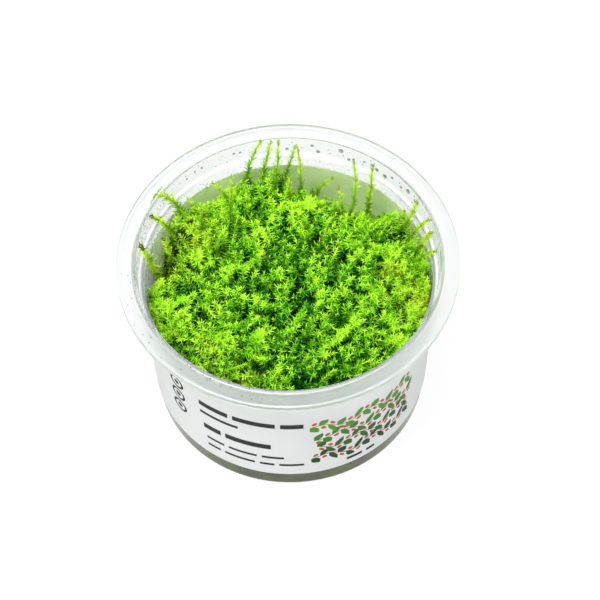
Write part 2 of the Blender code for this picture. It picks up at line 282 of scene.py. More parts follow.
# Set agar gel: cloudy, olive, with darker and paler clouds. Pressed against the plastic, its skin has no
# gloss of its own.
CLOUD_SIZE = 7.0 * mm
olive_gel, tree = new_material("set_olive_agar_gel")
place = add_node(tree, "ShaderNodeTexCoord").outputs["Object"]
cloud = add_node(tree, "ShaderNodeTexNoise", {"Vector": place, "Scale": 1.0 / CLOUD_SIZE, "Detail": 4.0})
cloud_colour = add_node(tree, "ShaderNodeValToRGB", {"Fac": cloud},
                        stops=[(0.3, "#363C00"), (0.7, "#5A6504"), (0.5, "#454F02")])
gel = add_node(tree, "ShaderNodeBsdfPrincipled", {
    "Base Color": cloud_colour,
    "Subsurface Weight": 0.15,
    "Subsurface Radius": (1.0, 1.0, 0.5),
    "Subsurface Scale": 2.0 * mm,
    "IOR": 1.34,
    "Roughness": 0.4,
    "Specular IOR Level": 0.0,
})
add_node(tree, "ShaderNodeOutputMaterial", {"Surface": gel})

add_piece(turned("cloudy_culture_gel", gel_section, GEL_ROUNDING), olive_gel, ["culture_gel"])

# The label
# A strip of coated paper, printed flat and wound once round the wall, its end lapped over its start at the
# left rear. Its front is white with plain print. Its rear panel is tinted sage green on both sides: painted
# light, the green glow that the moss casts onto the inside of the white paper.

label_low, label_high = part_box("paper_label")
LABEL_TRIM = 0.6 * mm
LABEL_BOTTOM = label_low[2] + LABEL_TRIM
LABEL_TOP = label_high[2]
# Bearings and turns in degrees: where the strip starts, how far it overlaps itself, and over how many of its
# last degrees it climbs onto its start
LABEL_SEAM = 160.0
LABEL_LAP = 5.0
LAP_START = 355.0
LAP_CLIMB = 6.0
# Bearing in degrees where the rear panel starts, whose green tint is painted light
GREEN_LIGHT_PANEL_END = 348.0
PAPER = 0.12 * mm
LAP_LIFT = 1.3
GLUE = 0.01 * mm
LABEL_STEPS = 180
PRINT_RADIUS = outer_wall_radius(0.5 * (LABEL_BOTTOM + LABEL_TOP)) + GAP


def label_mesh(name):
    """The strip as a grid bent round the wall, so that its print lies flat in millimetres on its own map."""
    form = bmesh.new()
    bmesh.ops.create_grid(form, x_segments=LABEL_STEPS, y_segments=6, size=0.5)
    print_map = form.loops.layers.uv.new("print")
    wound = math.radians(360.0 + LABEL_LAP)
    for face in form.faces:
        for corner in face.loops:
            turn = (corner.vert.co.x + 0.5) * wound
            rise = LABEL_BOTTOM + (corner.vert.co.y + 0.5) * (LABEL_TOP - LABEL_BOTTOM)
            corner[print_map].uv = (turn * PRINT_RADIUS / mm, rise / mm)
    for vertex in form.verts:
        turn = (vertex.co.x + 0.5) * wound
        rise = LABEL_BOTTOM + (vertex.co.y + 0.5) * (LABEL_TOP - LABEL_BOTTOM)
        lapped = min(max((math.degrees(turn) - LAP_START) / LAP_CLIMB, 0.0), 1.0)
        radius = outer_wall_radius(rise) + GAP + GLUE + lapped * LAP_LIFT * PAPER
        bearing = math.radians(LABEL_SEAM) + turn
        vertex.co = (radius * math.cos(bearing), radius * math.sin(bearing), rise)
    bmesh.ops.recalc_face_normals(form, faces=form.faces[:])
    if form.faces[:][0].normal.dot(form.faces[:][0].calc_center_median().xy.to_3d()) < 0.0:
        bmesh.ops.reverse_faces(form, faces=form.faces[:])
    bmesh.ops.solidify(form, geom=form.faces[:], thickness=-PAPER)
    mesh = bpy.data.meshes.new(name)
    form.to_mesh(mesh)
    form.free()
    mesh.shade_smooth()
    mesh.set_sharp_from_angle(angle=math.radians(50.0))
    return mesh


def bearing_to_print(bearing):
    """Where a compass bearing on the cup falls along the unwound strip, in millimetres."""
    return math.radians((bearing - LABEL_SEAM) % 360.0) * PRINT_RADIUS / mm


# Coated label paper, offset printed: white with a soft sheen, dark bars and ringed dots, and rows of
# plain leafy vine. It is thin enough to glow a little from behind.
printed_paper, tree = new_material("offset_printed_coated_paper")
strip = add_node(tree, "ShaderNodeUVMap", uv_map="print")
split = add_node(tree, "ShaderNodeSeparateXYZ", {"Vector": strip})
along_strip = split.outputs["X"]
up_strip = split.outputs["Y"]

# Plain bars: left and right ends as bearings, lower and upper edges in millimetres of height
PLAIN_BARS = (
    (-129.0, -116.0, 32.0, 34.2), (-114.0, -97.0, 32.0, 34.2), (-95.0, -86.0, 32.0, 34.2),
    (-129.0, -112.0, 28.0, 29.3),
    (-128.0, -120.0, 20.4, 22.8), (-118.0, -99.0, 20.4, 22.8),
    (-127.0, -119.0, 15.2, 16.3), (-117.0, -105.0, 15.2, 16.3), (-103.0, -94.0, 15.2, 16.3),
    (-127.0, -121.0, 11.4, 12.5), (-119.0, -106.0, 11.4, 12.5), (-104.0, -98.0, 11.4, 12.5),
    (-96.0, -86.0, 11.4, 12.5),
    (-68.0, -61.0, 9.0, 10.3), (-59.0, -55.0, 9.0, 10.3),
)
ink = 0.0
for left_bearing, right_bearing, bottom, top in PLAIN_BARS:
    left, right = bearing_to_print(left_bearing), bearing_to_print(right_bearing)
    across = {0: along_strip, 1: 0.5 * (left + right), 2: 0.5 * (right - left)}
    upright = {0: up_strip, 1: 0.5 * (bottom + top), 2: 0.5 * (top - bottom)}
    wide = add_node(tree, "ShaderNodeMath", across, operation="COMPARE")
    high = add_node(tree, "ShaderNodeMath", upright, operation="COMPARE")
    bar = add_node(tree, "ShaderNodeMath", {0: wide, 1: high}, operation="MULTIPLY")
    ink = add_node(tree, "ShaderNodeMath", {0: ink, 1: bar}, operation="MAXIMUM")

# Three ringed dots, one above the other, in millimetres
RING_BEARING = -141.0
RING_HEIGHTS = (34.0, 28.0, 22.0)
RING_RADIUS = 2.2
RING_LINE = 0.4
DOT_RADIUS = 0.9
for ring_height in RING_HEIGHTS:
    ring_centre = (bearing_to_print(RING_BEARING), ring_height, 0.0)
    reach = add_node(tree, "ShaderNodeVectorMath", {0: strip, 1: ring_centre},
                     operation="DISTANCE").outputs["Value"]
    ring = add_node(tree, "ShaderNodeMath", {0: reach, 1: RING_RADIUS, 2: RING_LINE}, operation="COMPARE")
    dot = add_node(tree, "ShaderNodeMath", {0: reach, 1: DOT_RADIUS}, operation="LESS_THAN")
    mark = add_node(tree, "ShaderNodeMath", {0: ring, 1: dot}, operation="MAXIMUM")
    ink = add_node(tree, "ShaderNodeMath", {0: ink, 1: mark}, operation="MAXIMUM")

# The paper's fibres, drawn coarse enough to show, and the uneven painted green light of the rear panel
FIBRE_SIZE = 1.0 / 2.2
GREEN_LIGHT_WASH_SIZE = 1.0 / 0.11
fibre = add_node(tree, "ShaderNodeTexNoise", {"Vector": strip, "Scale": 1.0 / FIBRE_SIZE, "Detail": 5.0})
paper_colour = add_node(tree, "ShaderNodeValToRGB", {"Fac": fibre},
                        stops=[(0.3, "#EEF1F0"), (0.7, "#F4F6F5")])
green_light_wash = add_node(tree, "ShaderNodeTexNoise", {"Vector": strip, "Scale": 1.0 / GREEN_LIGHT_WASH_SIZE, "Detail": 3.0})
# The rear panel's sage green is painted light, the green glow that the moss casts onto the paper's inside
painted_moss_light = add_node(tree, "ShaderNodeValToRGB", {"Fac": green_light_wash},
                       stops=[(0.3, "#E0F6BC"), (0.7, "#F4FFD8")])
green_light_panel = add_node(tree, "ShaderNodeMath", {0: along_strip, 1: bearing_to_print(GREEN_LIGHT_PANEL_END)},
                      operation="GREATER_THAN")
printed = add_node(tree, "ShaderNodeMix", {0: green_light_panel, 6: paper_colour, 7: painted_moss_light},
                   data_type="RGBA").outputs[2]
printed = add_node(tree, "ShaderNodeMix", {0: ink, 6: printed, 7: colour("#26292A")},
                   data_type="RGBA").outputs[2]

# Four wavy vines, one above the other, each with oval leaves set to either side of it and round berries
# between them: height in millimetres, phase of its wave, and its leaf green
VINES = (
    (15.0, 0.0, "#1E4E14"),
    (20.4, 0.35, "#2F7018"),
    (25.8, 0.7, "#4A8E1E"),
    (31.2, 0.15, "#6AA428"),
)
BERRY_ORANGE = "#D8640C"
VINE_LEFT = bearing_to_print(-82.0)
VINE_RIGHT = bearing_to_print(-36.0)
VINE_MIDDLE = 0.5 * (VINE_LEFT + VINE_RIGHT)
VINE_WAVE = 13.0
VINE_SWING = 1.2
VINE_REACH = 3.6
STALK_HALF_WIDTH = 0.16
LEAF_PITCH = 2.4
LEAF_LONG = 2.2
LEAF_WIDE = 1.0
LEAF_OUT = 1.5
LEAF_TURN = math.radians(52.0)
BERRY_OUT = 1.3
BERRY_RADIUS = 0.70
for vine_height, phase, leaf_green in VINES:
    # Each step has its name, its sum, and what it takes: numbers, or the names of steps before it
    steps = (
        ("wave", "MULTIPLY_ADD", "along", math.tau / VINE_WAVE, phase * math.tau),
        ("swing", "SINE", "wave"),
        ("stalk_height", "MULTIPLY_ADD", "swing", VINE_SWING, vine_height),
        ("above", "SUBTRACT", "up", "stalk_height"),
        ("stalk", "COMPARE", "above", 0.0, STALK_HALF_WIDTH),
        ("cell", "MULTIPLY_ADD", "along", 1.0 / LEAF_PITCH, phase),
        ("cell_share", "FRACT", "cell"),
        ("sideways", "MULTIPLY_ADD", "cell_share", LEAF_PITCH, -0.5 * LEAF_PITCH),
        ("cell_middle", "SUBTRACT", "along", "sideways"),
        ("in_length", "COMPARE", "cell_middle", VINE_MIDDLE, VINE_RIGHT - VINE_MIDDLE),
        ("in_height", "COMPARE", "up", vine_height, VINE_REACH),
        ("in_row", "MULTIPLY", "in_length", "in_height"),
        ("cell_number", "FLOOR", "cell"),
        ("odd", "FLOORED_MODULO", "cell_number", 2.0),
        ("flip", "MULTIPLY_ADD", "odd", 2.0, -1.0),
        ("outward", "MULTIPLY_ADD", "above", "flip", -LEAF_OUT),
        ("long_part", "MULTIPLY", "sideways", math.cos(LEAF_TURN) / LEAF_LONG),
        ("long_way", "MULTIPLY_ADD", "outward", math.sin(LEAF_TURN) / LEAF_LONG, "long_part"),
        ("wide_part", "MULTIPLY", "sideways", -math.sin(LEAF_TURN) / LEAF_WIDE),
        ("wide_way", "MULTIPLY_ADD", "outward", math.cos(LEAF_TURN) / LEAF_WIDE, "wide_part"),
        ("half_width", "ABSOLUTE", "wide_way"),
        ("pointed", "POWER", "half_width", 1.5),
        ("oval", "MULTIPLY_ADD", "long_way", "long_way", "pointed"),
        ("leaf", "LESS_THAN", "oval", 1.0),
        ("greenery", "MAXIMUM", "leaf", "stalk"),
        ("green_mask", "MULTIPLY", "greenery", "in_row"),
        ("drop", "MULTIPLY_ADD", "above", "flip", BERRY_OUT),
        ("drop_squared", "MULTIPLY", "drop", "drop"),
        ("berry_reach", "MULTIPLY_ADD", "sideways", "sideways", "drop_squared"),
        ("berry", "LESS_THAN", "berry_reach", BERRY_RADIUS ** 2),
        ("berry_mask", "MULTIPLY", "berry", "in_row"),
    )
    made = {"along": along_strip, "up": up_strip}
    for name, operation, *takes in steps:
        sockets = {index: made.get(item, item) for index, item in enumerate(takes)}
        made[name] = add_node(tree, "ShaderNodeMath", sockets, operation=operation)
    for mask, paint in (("green_mask", leaf_green), ("berry_mask", BERRY_ORANGE)):
        printed = add_node(tree, "ShaderNodeMix", {0: made[mask], 6: printed, 7: colour(paint)},
                           data_type="RGBA").outputs[2]

paper_bump = add_node(tree, "ShaderNodeBump", {"Height": fibre, "Strength": 0.08, "Distance": 0.05 * mm})
paper = add_node(tree, "ShaderNodeBsdfPrincipled", {
    "Base Color": printed,
    "Roughness": 0.38,
    "Specular IOR Level": 0.3,
    "Coat Weight": 0.05,
    "Coat Roughness": 0.25,
    "Normal": paper_bump,
})
paper_glow = add_node(tree, "ShaderNodeBsdfTranslucent", {"Color": printed})
thin_paper = add_node(tree, "ShaderNodeMixShader", {"Fac": 0.55, 1: paper, 2: paper_glow})
add_node(tree, "ShaderNodeOutputMaterial", {"Surface": thin_paper})

add_piece(label_mesh("wound_paper_label"), printed_paper, ["paper_label"])

# The moss cushion
# About 2,400 short upright shoots of one aquatic feather moss, grown into a mat that fills the cup. Each is a
# thin stem with pointed, keeled leaves set round it in a spiral, spreading below and closed up at the tip.

CROWN_HEIGHT = 45.5 * mm
CROWN_X = -1.0 * mm
CROWN_Y = -3.0 * mm
CROWN_REACH = 38.0 * mm
CROWN_FALL = 4.5 * mm
CROWN_CURVE = 2.6
# How high the cushion stands against the wall: bearing in degrees, height in millimetres
BROW_HEIGHTS = (
    (0.0, 43.0), (12.0, 44.5), (18.0, 42.0), (23.5, 39.0), (28.0, 43.0), (33.0, 44.5), (37.0, 41.0),
    (41.0, 36.0), (46.0, 31.0), (62.0, 29.0), (72.0, 30.0), (76.0, 32.0), (80.0, 36.0), (84.0, 34.0),
    (87.0, 31.5), (90.0, 41.5), (98.0, 42.5), (106.0, 42.0), (111.0, 39.5), (118.0, 39.5), (124.0, 36.0),
    (129.0, 37.0), (134.0, 41.0), (141.0, 44.5), (150.0, 41.5), (156.0, 36.5), (163.0, 30.0),
    (168.0, 30.0), (174.0, 36.0), (181.0, 40.0), (190.0, 41.0), (270.0, 42.0), (350.0, 41.5),
)
BROW_INNER_RADIUS = 26.0 * mm
MOUND_SIZE = 5.0 * mm
MOUND_RISE = 3.2 * mm
MOUND_SLICE = 9.1
# One fixed seed for the random draws and for Blender's noise, so that the same moss grows on every run
SEED = 20
chance = np.random.default_rng(SEED)
noise.seed_set(SEED)


def dome_height(x, y):
    from_crown = np.hypot(x - CROWN_X, y - CROWN_Y)
    return CROWN_HEIGHT - CROWN_FALL * (from_crown / CROWN_REACH) ** CROWN_CURVE


def mound_at(x, y):
    """Where each place lies on the cushion's mounds and dips, from about -0.5 to 0.5."""
    spots = [Vector((a / MOUND_SIZE, b / MOUND_SIZE, MOUND_SLICE)) for a, b in zip(x, y)]
    return np.array([noise.noise(spot) for spot in spots])


def cushion_height(x, y):
    """Height of the cushion's top: a dome with mounds, run out to its height at the wall. Takes arrays."""
    bearing = np.arctan2(y, x)
    bearings, heights = zip(*BROW_HEIGHTS)
    brow = np.interp(np.degrees(bearing), bearings, np.array(heights) * mm, period=360.0)
    dome_at_wall = dome_height(WALL_TOP_RADIUS * np.cos(bearing), WALL_TOP_RADIUS * np.sin(bearing))
    outward = (np.hypot(x, y) - BROW_INNER_RADIUS) / (WALL_TOP_RADIUS - BROW_INNER_RADIUS)
    outward = np.clip(outward, 0.0, 1.0)
    run_out = (brow - dome_at_wall) * outward ** 2 * (3.0 - 2.0 * outward)
    return dome_height(x, y) + run_out + mound_at(x, y) * MOUND_RISE


def read_template(form):
    """A small form as arrays: its points, its faces' corners end to end, and each face's corner count."""
    form.verts.index_update()
    points = np.array([vertex.co[:] for vertex in form.verts])
    corners = np.array([vertex.index for face in form.faces for vertex in face.verts])
    counts = np.array([len(face.verts) for face in form.faces])
    form.free()
    return points, corners, counts


# How far along the leaf each row of its points lies, and how wide the leaf is there
LEAF_ROWS = ((0.0, 1.0), (0.20, 1.0), (0.56, 0.66), (1.0, 1.0))
LEAF_KEEL = 0.3


def leaf_template():
    """One leaf, 1 long and 1 wide: a grid drawn to a point at both ends and folded along its midrib."""
    form = bmesh.new()
    bmesh.ops.create_grid(form, x_segments=2, y_segments=3, size=0.5)
    for end in (-0.5, 0.5):
        row = [vertex for vertex in form.verts if abs(vertex.co.y - end) < 0.01]
        bmesh.ops.pointmerge(form, verts=row, merge_co=(0.0, end, 0.0))
    for vertex in form.verts:
        row = round((vertex.co.y + 0.5) * 3.0)
        along, width = LEAF_ROWS[row]
        fold = LEAF_KEEL * abs(vertex.co.x) * width
        vertex.co = (vertex.co.x * width, along, fold)
    if sum(face.normal.z for face in form.faces) < 0.0:
        bmesh.ops.reverse_faces(form, faces=form.faces[:])
    return read_template(form)


def stem_template(rings):
    """A three-sided stem, 1 high and 1 in radius at its foot, closed at both ends, with rings to bend at."""
    form = bmesh.new()
    bmesh.ops.create_cone(form, segments=3, radius1=1.0, radius2=0.55, depth=1.0, cap_ends=True)
    bmesh.ops.translate(form, verts=form.verts[:], vec=(0.0, 0.0, 0.5))
    for ring in range(1, rings):
        bmesh.ops.bisect_plane(form, geom=form.verts[:] + form.edges[:] + form.faces[:],
                               plane_co=(0.0, 0.0, ring / rings), plane_no=(0.0, 0.0, 1.0))
    bmesh.ops.recalc_face_normals(form, faces=form.faces[:])
    return read_template(form)


LEAF = leaf_template()
STEM_RINGS = 5
STEM = stem_template(STEM_RINGS)
# A direction that no stem grows in, from which the two directions across each stem are worked out
SIDE_HINT = (0.31, 0.95, 0.02)
# How often a swaying stem swings to and fro along its length, in each of those two directions
SWAY_TURNS = (17.0, 13.0)


def unit(vectors):
    return vectors / np.maximum(np.linalg.norm(vectors, axis=-1, keepdims=True), 1e-12)


def stem_line(shoots, share):
    """Places on, and directions of, the bent stems at each share of their length: shoots x shares x 3."""
    share = share[..., None]
    foot, knee, tip = (shoots[key][:, None, :] for key in ("foot", "knee", "tip"))
    place = foot * (1.0 - share) ** 2 + knee * 2.0 * share * (1.0 - share) + tip * share ** 2
    way = unit(2.0 * (knee - foot) * (1.0 - share) + 2.0 * (tip - knee) * share)
    across = unit(np.cross(way, np.array(SIDE_HINT)))
    over = np.cross(way, across)
    if "sway" in shoots:
        swing = shoots["sway"][:, None, None] * np.sin(math.pi * share)
        first, second = SWAY_TURNS
        place = place + swing * (across * np.sin(first * share) + over * np.cos(second * share))
    return place, way, across, over


def repeat_template(template, points):
    """One block of joined copies of a template: points is copies x template points x 3."""
    _, corners, counts = template
    copies = points.shape[0]
    start = np.arange(copies)[:, None] * points.shape[1]
    return points.reshape(-1, 3), (corners[None, :] + start).ravel(), np.tile(counts, copies)


GOLDEN_ANGLE = math.radians(137.5)
# How far single leaves stray: in place along the stem, turn round it, opening angle, and age
LEAF_PLACE_SPREAD = 0.006
LEAF_TURN_SPREAD = 0.22
LEAF_ANGLE_SPREAD = 0.13
LEAF_AGE_SPREAD = 0.12
LEAF_SIZES = (0.82, 1.15)
LEAF_CURLS = (-0.30, 0.06)
# From this share of its height on a shoot is young: its leaves close up and shrink towards the tip
YOUNG_FROM = 0.55
CLOSING_CURVE = 2.4
TIP_SHRINK = 0.42
# How much paler a stem grows from foot to tip; its darker foot is partly age, partly painted shade
STEM_GREENING = 0.6
# Where a shoot is browned, as shares of its length: at its nodes, and more at the bud on its tip
NODES_PER_SHOOT = 3.0
NODE_SHARE = 0.09
NODE_BROWNING = 0.55
TIP_BUD_SHARE = 0.10


def leafy_blocks(shoots, leaves, bare_share, length, width, open_angles, stem_radius, bud=0.0):
    """Leaves and stems of shoots, with each point's tone, age and painted shade, and share along its leaf."""
    count = len(shoots["foot"])
    index = np.arange(leaves)
    share = bare_share + (1.0 - bare_share) * (index + 0.5) / leaves
    share = np.broadcast_to(share, (count, leaves)) + chance.normal(0.0, LEAF_PLACE_SPREAD, (count, leaves))
    share = np.clip(share, 0.0, 1.0)
    place, way, across, over = stem_line(shoots, share)
    turn = index * GOLDEN_ANGLE + chance.uniform(0.0, math.tau, (count, 1))
    turn = turn + chance.normal(0.0, LEAF_TURN_SPREAD, (count, leaves))
    outward = across * np.cos(turn)[..., None] + over * np.sin(turn)[..., None]
    lower, upper = open_angles
    young = np.clip((share - YOUNG_FROM) / (1.0 - YOUNG_FROM), 0.0, 1.0)
    angle = np.radians(lower + (upper - lower) * young ** CLOSING_CURVE)
    angle = angle + chance.normal(0.0, LEAF_ANGLE_SPREAD, (count, leaves))
    blade = way * np.cos(angle)[..., None] + outward * np.sin(angle)[..., None]
    side = unit(np.cross(way, outward))
    upward = np.cross(side, blade)
    upward *= np.sign(np.sum(upward * way, axis=-1, keepdims=True))
    size = length * shoots["size"][:, None] * (1.0 - TIP_SHRINK * young ** 2)
    size = size * chance.uniform(*LEAF_SIZES, (count, leaves))
    points, _, _ = LEAF
    curl = chance.uniform(*LEAF_CURLS, (count, leaves))
    breadth = width * shoots["size"][:, None, None]
    x = points[:, 0][None, None, :] * breadth
    y = points[:, 1][None, None, :] * size[..., None]
    z = points[:, 2][None, None, :] * breadth + curl[..., None] * y * y / size[..., None]
    moved = (place[:, :, None, :] + side[:, :, None, :] * x[..., None] + blade[:, :, None, :] * y[..., None]
             + upward[:, :, None, :] * z[..., None])
    moved = moved.reshape(-1, len(points), 3)
    leaf_block = repeat_template(LEAF, moved)
    at_node = ((1.0 - share) * NODES_PER_SHOOT + NODE_SHARE) % 1.0 < 2.0 * NODE_SHARE
    browned = np.where(share > 1.0 - TIP_BUD_SHARE, 1.0, NODE_BROWNING * at_node)
    leaf_tone = shoots["tone"][:, None] + bud * browned
    tone = np.repeat(leaf_tone.ravel(), len(points))
    # Leaves lower down a shoot count as older and are darker: partly age, partly painted shade
    leaf_age_and_shade = 1.0 - share + shoots["age_and_shade"][:, None] + chance.normal(0.0, LEAF_AGE_SPREAD, (count, leaves))
    age_and_shade = np.repeat(leaf_age_and_shade.ravel(), len(points))
    tip = np.tile(points[:, 1], count * leaves)

    stem_points, _, _ = STEM
    place, _, across, over = stem_line(shoots, np.broadcast_to(stem_points[:, 2], (count, len(stem_points))))
    across = across * stem_points[:, 0][None, :, None]
    over = over * stem_points[:, 1][None, :, None]
    stem_block = repeat_template(STEM, place + (across + over) * stem_radius)
    stem_tone = np.repeat(shoots["tone"], len(stem_points))
    # The stem darkens towards its foot: partly age, partly painted shade
    stem_age_and_shade = (1.0 - stem_points[:, 2] * STEM_GREENING + shoots["age_and_shade"][:, None]).ravel()
    tone = np.concatenate([tone, stem_tone])
    age_and_shade = np.concatenate([age_and_shade, stem_age_and_shade])
    tip = np.concatenate([tip, np.zeros(len(stem_tone))])
    return [leaf_block, stem_block], tone, age_and_shade, tip


WALL_CLEARANCE = 0.25 * mm
MOUTH_CLEARANCE = 0.2 * mm


def keep_inside(points):
    """Presses anything that would reach through the cup back onto the inside of its wall."""
    radius = np.hypot(points[:, 0], points[:, 1])
    limit = np.where(points[:, 2] < CUP_HEIGHT + MOUTH_CLEARANCE,
                     inner_wall_radius(points[:, 2]) - WALL_CLEARANCE, COLLAR_MOUTH_RADIUS)
    points[:, :2] *= np.minimum(1.0, limit / np.maximum(radius, 1e-9))[:, None]
    points[:, 2] = np.minimum(points[:, 2], cad_box[1][2])
    return points


def mesh_of(name, points, corners, counts):
    """A smooth mesh from arrays of points, of faces' corners end to end, and of each face's corner count."""
    mesh = bpy.data.meshes.new(name)
    mesh.vertices.add(len(points))
    mesh.vertices.foreach_set("co", points.astype(np.float32).ravel())
    mesh.loops.add(len(corners))
    mesh.loops.foreach_set("vertex_index", corners.astype(np.int32))
    mesh.polygons.add(len(counts))
    mesh.polygons.foreach_set("loop_start", (np.cumsum(counts) - counts).astype(np.int32))
    mesh.update(calc_edges=True)
    mesh.shade_smooth()
    return mesh


def joined_mesh(name, parts):
    """One mesh from blocks of arrays, with its material's attributes tone, age and painted shade, and tip."""
    points, corners, counts = [], [], []
    start = 0
    for blocks, _, _, _ in parts:
        for block_points, block_corners, block_counts in blocks:
            points.append(block_points)
            corners.append(block_corners + start)
            counts.append(block_counts)
            start += len(block_points)
    points = keep_inside(np.concatenate(points))
    mesh = mesh_of(name, points, np.concatenate(corners), np.concatenate(counts))
    for key, column in (("tone", 1), ("age_and_shade", 2), ("tip", 3)):
        values = np.concatenate([part[column] for part in parts])
        mesh.attributes.new(key, "FLOAT", "POINT").data.foreach_set("value", values.astype(np.float32))
    return mesh


SCATTER = 0.22
COMBING_SIZE = 11.0 * mm
# Patches of old moss: their places, how far they spread, and how yellow-brown they are
OLD_PATCHES = (
    (-25.0 * mm, 14.0 * mm, 5.0 * mm, 0.35),
    (-22.0 * mm, -21.0 * mm, 4.0 * mm, 0.25),
    (26.5 * mm, 2.0 * mm, 2.5 * mm, 0.45),
    (34.0 * mm, -6.0 * mm, 4.0 * mm, 0.40),
    (-12.0 * mm, -31.0 * mm, 4.0 * mm, 0.25),
)
FRESH_TONE = -0.03
TONE_SPREAD = 0.04
# How far each shoot's age and painted shade are shifted: darker to begin with and towards the front, paler
# towards the rim, and paler on the raised clumps as painted light; with the distances from the axis at which
# the front and the rim start, and their widths
AGE_AND_SHADE_START = 0.13
DARKENING_AT_FRONT = 0.29
FRONT_START = 16.0 * mm
FRONT_WIDTH = 16.0 * mm
PALING_AT_RIM = 0.25
RIM_START = 12.0 * mm
RIM_WIDTH = 22.0 * mm
PAINTED_LIGHT_ON_CLUMPS = 0.42
AGE_SPREAD = 0.09


def scattered(spacing, reach):
    """Places about evenly apart inside a circle, each nudged off a triangular grid."""
    rows = np.arange(-reach, reach, spacing * 0.866)
    places = []
    for number, row in enumerate(rows):
        line = np.arange(-reach, reach, spacing) + (number % 2) * 0.5 * spacing
        places.append(np.stack([line, np.full(len(line), row)], axis=1))
    places = np.concatenate(places)
    places = places + chance.normal(0.0, SCATTER * spacing, places.shape)
    return places[np.hypot(places[:, 0], places[:, 1]) < reach]


def lean_field(places, swirl):
    """A slowly turning direction at each place, so that neighbouring shoots comb the same way."""
    spots = [Vector((x / COMBING_SIZE, y / COMBING_SIZE, swirl)) for x, y in places]
    return np.array([noise.noise_vector(spot)[:2] for spot in spots])


def patch_tone(places):
    """How yellow-brown each shoot is: fresh nearly everywhere, and old in the patches."""
    tone = chance.normal(FRESH_TONE, TONE_SPREAD, len(places))
    for x, y, spread, strength in OLD_PATCHES:
        tone += strength * np.exp(-0.5 * (np.hypot(places[:, 0] - x, places[:, 1] - y) / spread) ** 2)
    return np.clip(tone, 0.0, 1.0)


def shoot_age_and_shade(places, swell):
    """Shifts each shoot's age and painted shade: paler at the rim, and on raised clumps as painted light."""
    outer = np.clip((np.hypot(places[:, 0], places[:, 1]) - RIM_START) / RIM_WIDTH, 0.0, 1.0)
    front = np.clip((-places[:, 1] - FRONT_START) / FRONT_WIDTH, 0.0, 1.0)
    age_and_shade = AGE_AND_SHADE_START - PALING_AT_RIM * outer + DARKENING_AT_FRONT * front - PAINTED_LIGHT_ON_CLUMPS * swell
    return age_and_shade + chance.normal(0.0, AGE_SPREAD, len(places))


def shoot_set(feet, knees, tips, sizes, swell):
    """The shoots of one storey, each with a size between two limits, a tone and an age with painted shade."""
    places = tips[:, :2]
    return {"foot": feet, "knee": knees, "tip": tips, "size": chance.uniform(*sizes, len(tips)),
            "tone": patch_tone(places), "age_and_shade": shoot_age_and_shade(places, swell)}


# The upper storey: bright star-shaped tips, about 2 mm apart. In each storey a shoot's lean and the drop from
# its tip to its knee and foot are shares of its length.
SHOOT_LENGTH = 9.0 * mm
UPPER_SPACING = 2.02 * mm
UPPER_REACH = 36.4 * mm
places = scattered(UPPER_SPACING, UPPER_REACH)
outwardness = np.clip((np.hypot(places[:, 0], places[:, 1]) - 16.0 * mm) / (20.0 * mm), 0.0, 1.0)
radial = places / np.maximum(np.hypot(places[:, 0], places[:, 1]), 1e-6)[:, None]
lean = lean_field(places, 3.7) * (0.55 + 0.55 * outwardness[:, None]) + radial * 0.25 * outwardness[:, None]
lean = lean + chance.normal(0.0, 0.16, lean.shape)
# The mounds' height: shoots on the raised clumps are made paler by it, as painted light
swell = mound_at(places[:, 0], places[:, 1])
top = cushion_height(places[:, 0], places[:, 1]) + chance.uniform(-1.2, 1.0, len(places)) * mm
tips = np.column_stack([places, top])
feet = np.column_stack([places - lean * SHOOT_LENGTH * 0.8, top - SHOOT_LENGTH * 0.85])
knees = np.column_stack([feet[:, :2] + lean * SHOOT_LENGTH * 0.15, top - SHOOT_LENGTH * 0.35])
upper = shoot_set(feet, knees, tips, (0.85, 1.2), swell)

# The rim storey: a close row of shoots pressed up against the wall
RIM_SHOOTS = 190
bearing = np.linspace(0.0, math.tau, RIM_SHOOTS, endpoint=False)
bearing = bearing + chance.normal(0.0, 0.01, RIM_SHOOTS)
radius = chance.uniform(34.6, 36.6, RIM_SHOOTS) * mm
places = np.column_stack([radius * np.cos(bearing), radius * np.sin(bearing)])
swell = chance.normal(0.0, 0.3, RIM_SHOOTS)
top = cushion_height(places[:, 0], places[:, 1]) + chance.uniform(-1.0, 1.4, RIM_SHOOTS) * mm
lean = np.column_stack([-np.sin(bearing), np.cos(bearing)]) * chance.normal(0.0, 0.35, RIM_SHOOTS)[:, None]
tips = np.column_stack([places, top])
feet = np.column_stack([places * 0.96 - lean * SHOOT_LENGTH * 0.5, top - SHOOT_LENGTH * 0.9])
knees = np.column_stack([places * 0.985 - lean * SHOOT_LENGTH * 0.3, top - SHOOT_LENGTH * 0.4])
rim = shoot_set(feet, knees, tips, (0.85, 1.15), swell)

# The lower storey: darker shoots that fill the gaps between the upper ones, darkened as if in a deep dip:
# painted shade in the gaps.
LOWER_SPACING = 2.2 * mm
LOWER_REACH = 36.6 * mm
# How deep a dip the lower storey is darkened as: painted shade in the gaps
LOWER_SHADE_SWELL = -1.4
places = scattered(LOWER_SPACING, LOWER_REACH)
lean = lean_field(places, 8.2) * 0.8 + chance.normal(0.0, 0.3, (len(places), 2))
top = cushion_height(places[:, 0], places[:, 1]) - chance.uniform(2.6, 5.0, len(places)) * mm
tips = np.column_stack([places, top])
feet = np.column_stack([places - lean * SHOOT_LENGTH * 0.7, top - SHOOT_LENGTH * 0.7])
knees = np.column_stack([feet[:, :2] + lean * SHOOT_LENGTH * 0.1, top - SHOOT_LENGTH * 0.3])
lower = shoot_set(feet, knees, tips, (0.8, 1.1), LOWER_SHADE_SWELL)

